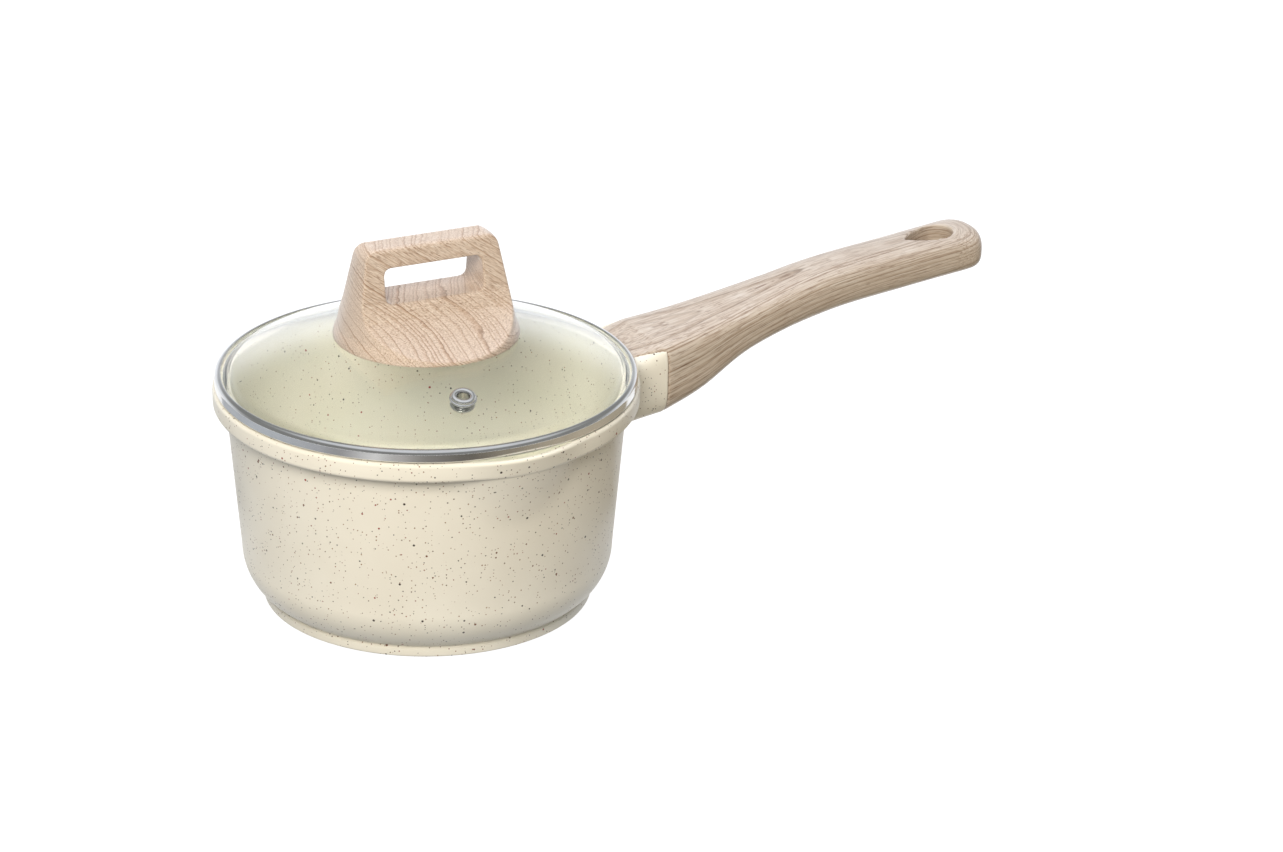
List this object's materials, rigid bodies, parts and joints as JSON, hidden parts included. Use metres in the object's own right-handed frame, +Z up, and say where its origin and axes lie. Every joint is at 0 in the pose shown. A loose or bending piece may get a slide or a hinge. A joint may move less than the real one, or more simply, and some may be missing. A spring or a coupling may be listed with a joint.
{
  "type": "saucepan with glass lid",
  "caption": "Cast saucepan with a speckled coating, pouring lips, a wood-look handle with a hanging hole, and a domed glass lid with a steel rim, steam vent and loop knob.",
  "frame": {"origin": "middle of the flat underside, where the pan stands", "axes": "+X along the handle from the pan to its tip, +Z up, +Y completes a right-handed frame"},
  "size_m": [0.3503, 0.1808, 0.1541],
  "materials": {
    "speckled_coating": "satin",
    "wood_look_resin": "satin",
    "steel": "polished",
    "brass": "satin",
    "lid_glass": "gloss",
    "silicone": "matte"
  },
  "bodies": {
    "pan": {"pan_body": "speckled_coating", "base_plate": "steel", "handle_grip": "wood_look_resin", "handle_insert": "brass", "handle_screw": "steel", "handle_lock_washer": "steel"},
    "lid": {"lid_glass": "lid_glass", "lid_rim_ring": "steel", "lid_rim_seal": "silicone", "knob": "wood_look_resin", "knob_insert": "brass", "knob_screw": "steel", "knob_washer": "steel", "knob_gasket_upper": "silicone", "knob_gasket_lower": "silicone", "vent_eyelet": "steel", "vent_gasket": "silicone", "vent_washer": "steel"}
  },
  "joints": [
    {"name": "lid_lift", "type": "slide", "parent": "pan", "child": "lid", "axis": [0, 0, 1], "range_m": [0, 0.1]}
  ]
}
